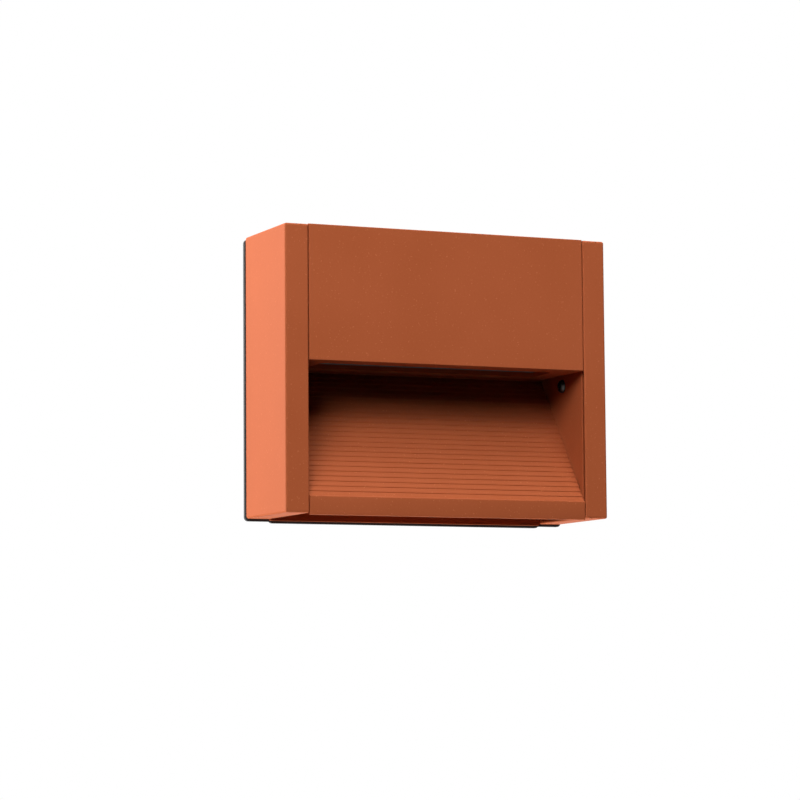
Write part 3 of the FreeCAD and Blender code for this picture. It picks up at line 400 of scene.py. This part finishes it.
# The back plate is folded from 2 mm sheet and coated like the body. It is screwed to the wall
# through four slots, and the body hangs on its two hooks.

finish_node("back_plate", sheet_coat)

# The wall gasket is die-cut closed-cell EPDM foam, stuck to the rear rims. Its cut edge shows
# small cells, drawn at 0.6 mm, twice the usual size. Its near-black is partly the foam's own colour and partly
# painted shade, for the shadow line along the rear edges.

# Both foam tones are near-black: partly the foam's colour, partly painted shade of the rear shadow line.
FOAM_DARK = "#2A2A2B"
FOAM_LIGHT = "#333334"
FOAM_CELL = 0.6


def foam():
    """Closed-cell rubber foam: dull black with pin-head cells; the black is partly painted shade for the rear
    shadow line.
    """
    made, tree, shader, place = new_material("closed_cell_foam_and_painted_shadow_line")
    cells = add(tree, "ShaderNodeTexVoronoi", {"Scale": per_metre(FOAM_CELL)}, {"Vector": place})
    tone = add(tree, "ShaderNodeMix", {6: linear(FOAM_DARK), 7: linear(FOAM_LIGHT)},
               {0: cells.outputs["Distance"]}, data_type="RGBA")
    bump = add(tree, "ShaderNodeBump", {"Strength": 0.3, "Distance": 0.05 * MM},
               {"Height": cells.outputs["Distance"]})
    feed(tree, shader, tone, bump)
    shader.inputs["Roughness"].default_value = 0.9
    return made


finish_node("wall_gasket", foam())

# The cable grommet is moulded rubber, pushed into the hole in the visor's rear wall. The gaskets at
# the extrusions' ends and under the lens are moulded silicone, pressed flat between their faces.

RUBBER_SKIN = {"texture_mm": 2.5, "detail": 6.0, "strength": 0.3, "depth_mm": 0.03}


def textured(name, dark, light, roughness, texture_mm, detail=3.0, strength=0.25, depth_mm=0.02, metallic=0.0):
    """One even tone with the faint texture of a mould or a plating, drawn coarse enough to show."""
    made, tree, shader, place = new_material(name)
    spark = add(tree, "ShaderNodeTexNoise", {"Scale": per_metre(texture_mm), "Detail": detail}, {"Vector": place})
    tone = add(tree, "ShaderNodeMix", {6: linear(dark), 7: linear(light)},
               {0: spark.outputs["Fac"]}, data_type="RGBA")
    bump = add(tree, "ShaderNodeBump", {"Strength": strength, "Distance": depth_mm * MM},
               {"Height": spark.outputs["Fac"]})
    feed(tree, shader, tone, bump)
    shader.inputs["Roughness"].default_value = roughness
    shader.inputs["Metallic"].default_value = metallic
    return made


finish_node("cable_grommet", textured("moulded_black_rubber", "#161617", "#242426", 0.65, **RUBBER_SKIN))
silicone = textured("moulded_grey_silicone", "#6A6A6C", "#7A7A7C", 0.5, **RUBBER_SKIN)
for name in ("left_end_gasket", "right_end_gasket", "lens_gasket"):
    finish_node(name, silicone)

# The lens is a plate of toughened soda-lime glass, ground at its edges, with a faint green cast. A
# thin film of dust from handling gives its reflections an uneven edge.

GLASS_TINT = "#EEF5F1"
GLASS_FILM = 9.0


def clear_glass():
    """Toughened clear glass: sharp reflections that a thin film blurs in places."""
    made, tree, shader, place = new_material("toughened_clear_glass")
    film = add(tree, "ShaderNodeTexNoise", {"Scale": per_metre(GLASS_FILM), "Detail": 3.0}, {"Vector": place})
    rough = add(tree, "ShaderNodeMapRange", {"To Min": 0.02, "To Max": 0.08}, {"Value": film.outputs["Fac"]})
    tree.links.new(rough.outputs["Result"], shader.inputs["Roughness"])
    shader.inputs["Base Color"].default_value = linear(GLASS_TINT)
    shader.inputs["IOR"].default_value = 1.52
    shader.inputs["Transmission Weight"].default_value = 1.0
    return made


finish_node("lens", clear_glass())

# The LED carrier and the gear tray are plain mill-finish aluminium, extruded and sawn, with fine
# lines along their length, drawn 0.5 mm apart to show. Both slide into grooves of the visor housing.

MILL_DARK = "#B4B6B8"
MILL_LIGHT = "#C9CBCC"
MILL_LINE = 0.5
MILL_STRETCH = 0.02


def mill_aluminium():
    """Mill-finish aluminium: soft grey metal with faint drawing lines along X."""
    made, tree, shader, place = new_material("mill_finish_aluminium")
    along = add(tree, "ShaderNodeMapping", {"Scale": (MILL_STRETCH, 1.0, 1.0)}, {"Vector": place})
    lines = add(tree, "ShaderNodeTexNoise", {"Scale": per_metre(MILL_LINE), "Detail": 4.0},
                {"Vector": along.outputs[0]})
    tone = add(tree, "ShaderNodeMix", {6: linear(MILL_DARK), 7: linear(MILL_LIGHT)},
               {0: lines.outputs["Fac"]}, data_type="RGBA")
    rough = add(tree, "ShaderNodeMapRange", {"To Min": 0.32, "To Max": 0.5}, {"Value": lines.outputs["Fac"]})
    bump = add(tree, "ShaderNodeBump", {"Strength": 0.25, "Distance": 0.01 * MM},
               {"Height": lines.outputs["Fac"]})
    feed(tree, shader, tone, bump, rough)
    shader.inputs["Metallic"].default_value = 1.0
    return made


aluminium = mill_aluminium()
finish_node("led_carrier", aluminium)
finish_node("gear_tray", aluminium)

# The LED board has a white solder mask, satin and even, and is screwed under the carrier. Each LED
# package is a white body filled with phosphor in silicone, so it shows as a small yellow block.

finish_node("led_board", textured("white_solder_mask", "#E4E4DE", "#EFEFEA", 0.35, 1.5))
finish_node("led_chips", textured("phosphor_over_led", "#D9B33B", "#E8CC5C", 0.45, 0.8))

# The driver's case and the terminal block are injection moulded, with a fine spark-eroded skin.
# Both are screwed to the gear tray. The block's clamps and the earth lug are plated brass, which
# shows as a dull warm metal.

finish_node("led_driver", textured("white_polycarbonate_case", "#D8D8D4", "#E3E3DF", 0.55, 0.7))
finish_node("terminal_block", textured("grey_polyamide_block", "#C7C7BF", "#D2D2CA", 0.5, 0.7))
brass = textured("nickel_plated_brass", "#A8966A", "#BBA97C", 0.35, 0.6, metallic=1.0)
finish_node("terminal_screws", brass)
finish_node("earth_lug", brass)

# The leads inside are stranded copper in extruded PVC sleeves, smooth with a soft shine. They run
# from the terminal block to the driver, on to the board, and to the earth lug.

finish_node("mains_leads", textured("brown_pvc_sleeve", "#53301C", "#5F3A24", 0.4, 1.0))
finish_node("led_leads", textured("black_pvc_sleeve", "#1B1B1C", "#262627", 0.4, 1.0))
finish_node("earth_lead", textured("green_pvc_sleeve", "#2F6B2A", "#3E7C33", 0.4, 1.0))

# The floor is a plain pale sheet well below the light, which hangs in the air as in the photograph.
# It shows pale, with the object's soft shadow on it, and throws little light back up.

FLOOR_HALF = 2.0
FLOOR_LEVEL = -1.3
FLOOR_SHOWN = "#E6E6E6"
FLOOR_BOUNCE = "#505050"
FLOOR_GLOW = 0.6
WHITE = (1, 1, 1, 1)


def only_seen(tree):
    """1 where the camera sees the surroundings, straight, mirrored or through glass, and else 0."""
    rays = add(tree, "ShaderNodeLightPath").outputs
    straight = add(tree, "ShaderNodeMath", {}, {0: rays["Is Camera Ray"], 1: rays["Is Transmission Ray"]},
                   operation="MAXIMUM")
    any_way = add(tree, "ShaderNodeMath", {}, {0: straight.outputs[0], 1: rays["Is Glossy Ray"]},
                  operation="MAXIMUM")
    unlit = add(tree, "ShaderNodeMath", {1: 0.5}, {0: rays["Diffuse Depth"]}, operation="LESS_THAN")
    both = add(tree, "ShaderNodeMath", {}, {0: any_way.outputs[0], 1: unlit.outputs[0]}, operation="MULTIPLY")
    return both.outputs[0]


def pale_paper():
    """Pale matt paper: bright where it is seen, with the shadow on it, and grey to other light."""
    made = bpy.data.materials.new("pale_paper_floor")
    made.use_nodes = True
    tree = made.node_tree
    shader = tree.nodes["Principled BSDF"]
    shown = only_seen(tree)
    tone = add(tree, "ShaderNodeMix", {6: linear(FLOOR_BOUNCE), 7: linear(FLOOR_SHOWN)}, {0: shown},
               data_type="RGBA")
    glow = add(tree, "ShaderNodeMath", {1: FLOOR_GLOW}, {0: shown}, operation="MULTIPLY")
    tree.links.new(tone.outputs[2], shader.inputs["Base Color"])
    tree.links.new(glow.outputs[0], shader.inputs["Emission Strength"])
    shader.inputs["Emission Color"].default_value = WHITE
    shader.inputs["Roughness"].default_value = 0.9
    return made


floor_mesh = bmesh.new()
bmesh.ops.create_grid(floor_mesh, x_segments=1, y_segments=1, size=FLOOR_HALF)
bmesh.ops.translate(floor_mesh, verts=floor_mesh.verts, vec=(0, 0, FLOOR_LEVEL))
floor_data = bpy.data.meshes.new("floor")
floor_mesh.to_mesh(floor_data)
floor_mesh.free()
floor_data.materials.append(pale_paper())
floor = bpy.data.objects.new("floor", floor_data)
bpy.context.scene.collection.objects.link(floor)

# The studio: white all round for the camera and for reflections, and a faint even fill. The key lamp
# stands in front on the left, one lamp hangs high over the front and one in front on the right, a broad
# lamp lights the left side and a weak one the underside. The last one serves the side out of view.

FILL = 0.004
LAMP_TARGET = Vector((0, -0.03, 0))

world = bpy.data.worlds.new("studio")
bpy.context.scene.world = world
world.use_nodes = True
world_tree = world.node_tree
world_tree.nodes.clear()
fill = add(world_tree, "ShaderNodeBackground", {"Color": WHITE, "Strength": FILL})
white = add(world_tree, "ShaderNodeBackground", {"Color": WHITE, "Strength": 1.0})
mixed = add(world_tree, "ShaderNodeMixShader", {},
            {0: only_seen(world_tree), 1: fill.outputs[0], 2: white.outputs[0]})
add(world_tree, "ShaderNodeOutputWorld", {}, {"Surface": mixed.outputs[0]})


def lamp(name, azimuth, elevation, distance, size, watts):
    """A soft square lamp aimed at the light from an azimuth (0 is in front, minus is left)."""
    a, e = math.radians(azimuth), math.radians(elevation)
    data = bpy.data.lights.new(name, "AREA")
    data.shape = "SQUARE"
    data.size = size
    data.energy = watts
    made = bpy.data.objects.new(name, data)
    bpy.context.scene.collection.objects.link(made)
    away = Vector((math.sin(a) * math.cos(e), -math.cos(a) * math.cos(e), math.sin(e)))
    aim = away.to_track_quat("Z", "Y").to_matrix().to_4x4()
    made.matrix_world = Matrix.Translation(away * distance + LAMP_TARGET) @ aim


lamp("key_lamp", azimuth=-44, elevation=26, distance=2.0, size=0.9, watts=28.8)
lamp("high_lamp", azimuth=-10, elevation=75, distance=1.6, size=0.8, watts=16.5)
lamp("side_lamp", azimuth=12, elevation=46, distance=1.8, size=0.8, watts=13.0)
lamp("left_lamp", azimuth=-125, elevation=12, distance=1.5, size=0.8, watts=44.0)
lamp("low_lamp", azimuth=180, elevation=-80, distance=1.0, size=0.3, watts=12.0)
lamp("rear_lamp", azimuth=125, elevation=25, distance=1.6, size=0.8, watts=30.0)

# The camera stands low in front, left of the light, and looks slightly up at it.

CAMERA_PLACE = (-0.73113, -1.62802, -0.18517)
AZIMUTH = math.radians(24.110)
ELEVATION = math.radians(5.629)
ROLL = math.radians(-0.427)
LENS = 139.045
SENSOR = 36.0

forward = Vector((
    math.sin(AZIMUTH) * math.cos(ELEVATION), math.cos(AZIMUTH) * math.cos(ELEVATION), math.sin(ELEVATION),
))
level = Vector((math.cos(AZIMUTH), -math.sin(AZIMUTH), 0))
upright = level.cross(forward)
right = level * math.cos(ROLL) + upright * math.sin(ROLL)
up = upright * math.cos(ROLL) - level * math.sin(ROLL)
camera_data = bpy.data.cameras.new("camera")
camera_data.sensor_width = SENSOR
camera_data.lens = LENS
camera = bpy.data.objects.new("camera", camera_data)
bpy.context.scene.collection.objects.link(camera)
camera.matrix_world = Matrix.Translation(CAMERA_PLACE) @ Matrix((right, up, -forward)).transposed().to_4x4()
bpy.context.scene.camera = camera
bpy.context.scene.view_settings.view_transform = "Standard"
